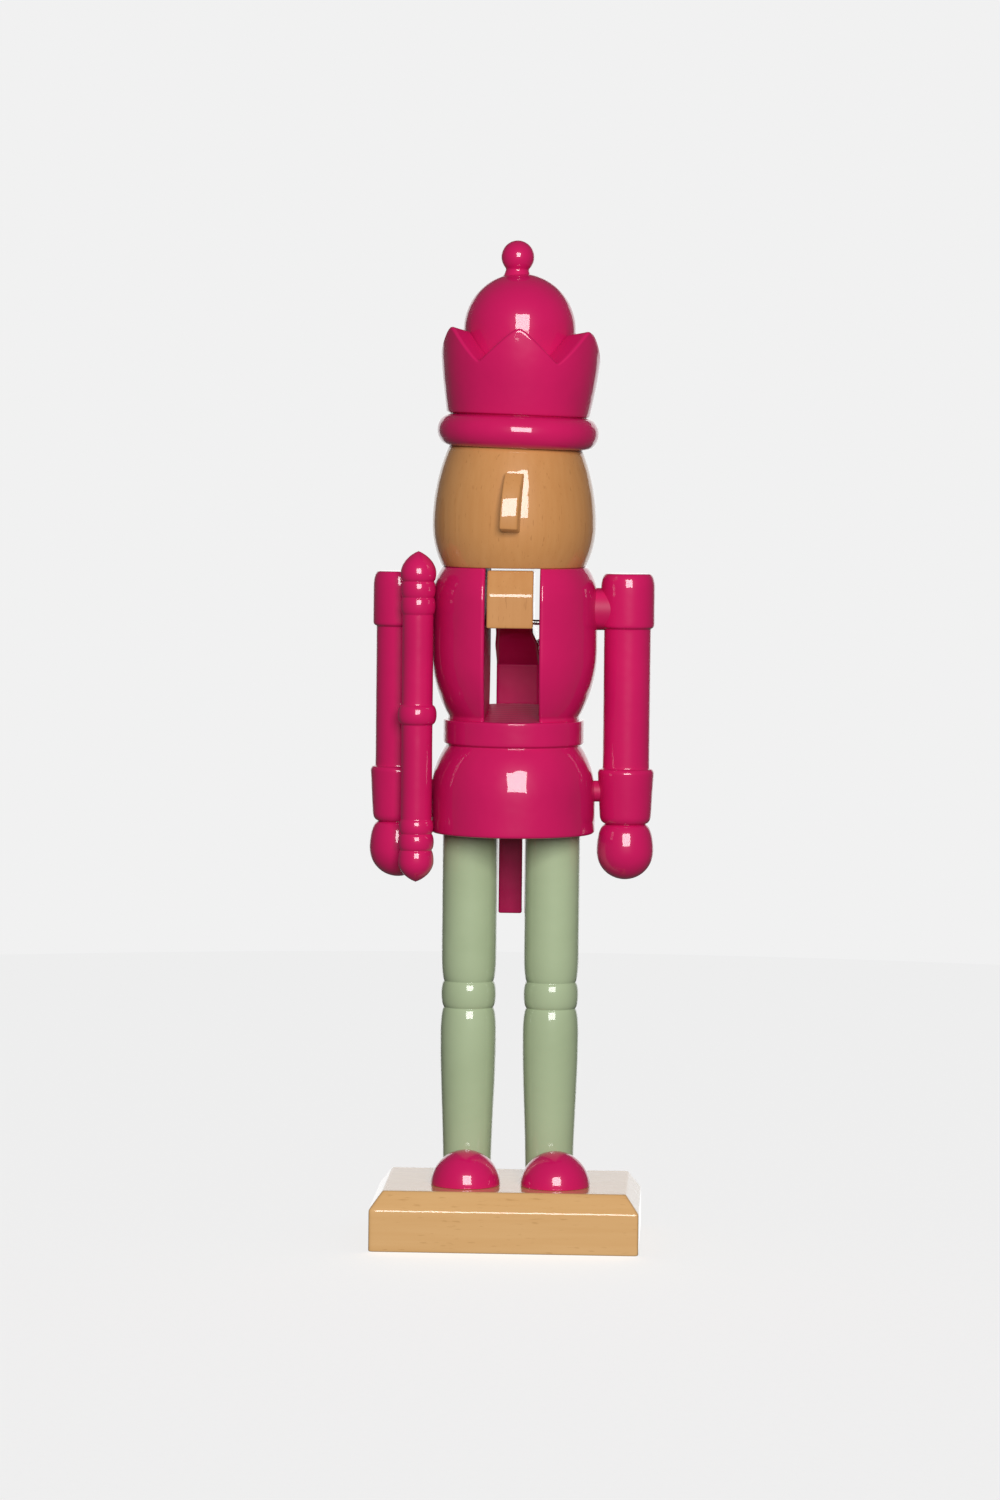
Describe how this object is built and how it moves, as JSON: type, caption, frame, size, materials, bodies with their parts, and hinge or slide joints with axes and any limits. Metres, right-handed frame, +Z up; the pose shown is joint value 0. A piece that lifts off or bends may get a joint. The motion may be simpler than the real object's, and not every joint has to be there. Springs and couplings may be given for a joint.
{
  "type": "nutcracker figure",
  "caption": "Turned wooden nutcracker king on a bevelled base, with crown, staff and a jaw worked by the lever behind.",
  "frame": {"origin": "centre of the base block's underside, on the ground", "axes": "+Z up, the figure faces -Y, +X towards the figure's own left"},
  "size_m": [0.1083, 0.0812, 0.3797],
  "materials": {
    "raspberry_paint": "thick gloss paint on turned wood",
    "sage_paint": "satin paint on turned wood",
    "varnished_wood": "clear gloss varnish on pale hardwood",
    "dowel_wood": "bare hardwood dowel",
    "steel_pin": "plain drawn wire"
  },
  "bodies": {
    "figure": {"base_block": "varnished_wood", "left_leg": "sage_paint", "right_leg": "sage_paint", "left_shoe": "raspberry_paint", "right_shoe": "raspberry_paint", "coat_body": "raspberry_paint", "neck_dowels": "dowel_wood", "head": "varnished_wood", "nose": "varnished_wood", "hat_dowel": "dowel_wood", "crown": "raspberry_paint", "dome": "raspberry_paint", "finial": "raspberry_paint", "pivot_pin": "steel_pin", "left_shoulder_peg": "raspberry_paint", "right_shoulder_peg": "raspberry_paint", "left_arm": "raspberry_paint", "right_arm": "raspberry_paint", "left_cuff_pad": "raspberry_paint", "right_cuff_pad": "raspberry_paint", "staff": "raspberry_paint", "staff_peg": "dowel_wood"},
    "jaw_lever": {"jaw": "varnished_wood", "jaw_dowel": "dowel_wood", "lever": "raspberry_paint"}
  },
  "joints": [
    {"name": "jaw_hinge", "type": "hinge", "parent": "figure", "child": "jaw_lever", "pos_m": [0, 0.007, 0.2354], "axis": [1, 0, 0], "range_deg": [0, 30]}
  ]
}
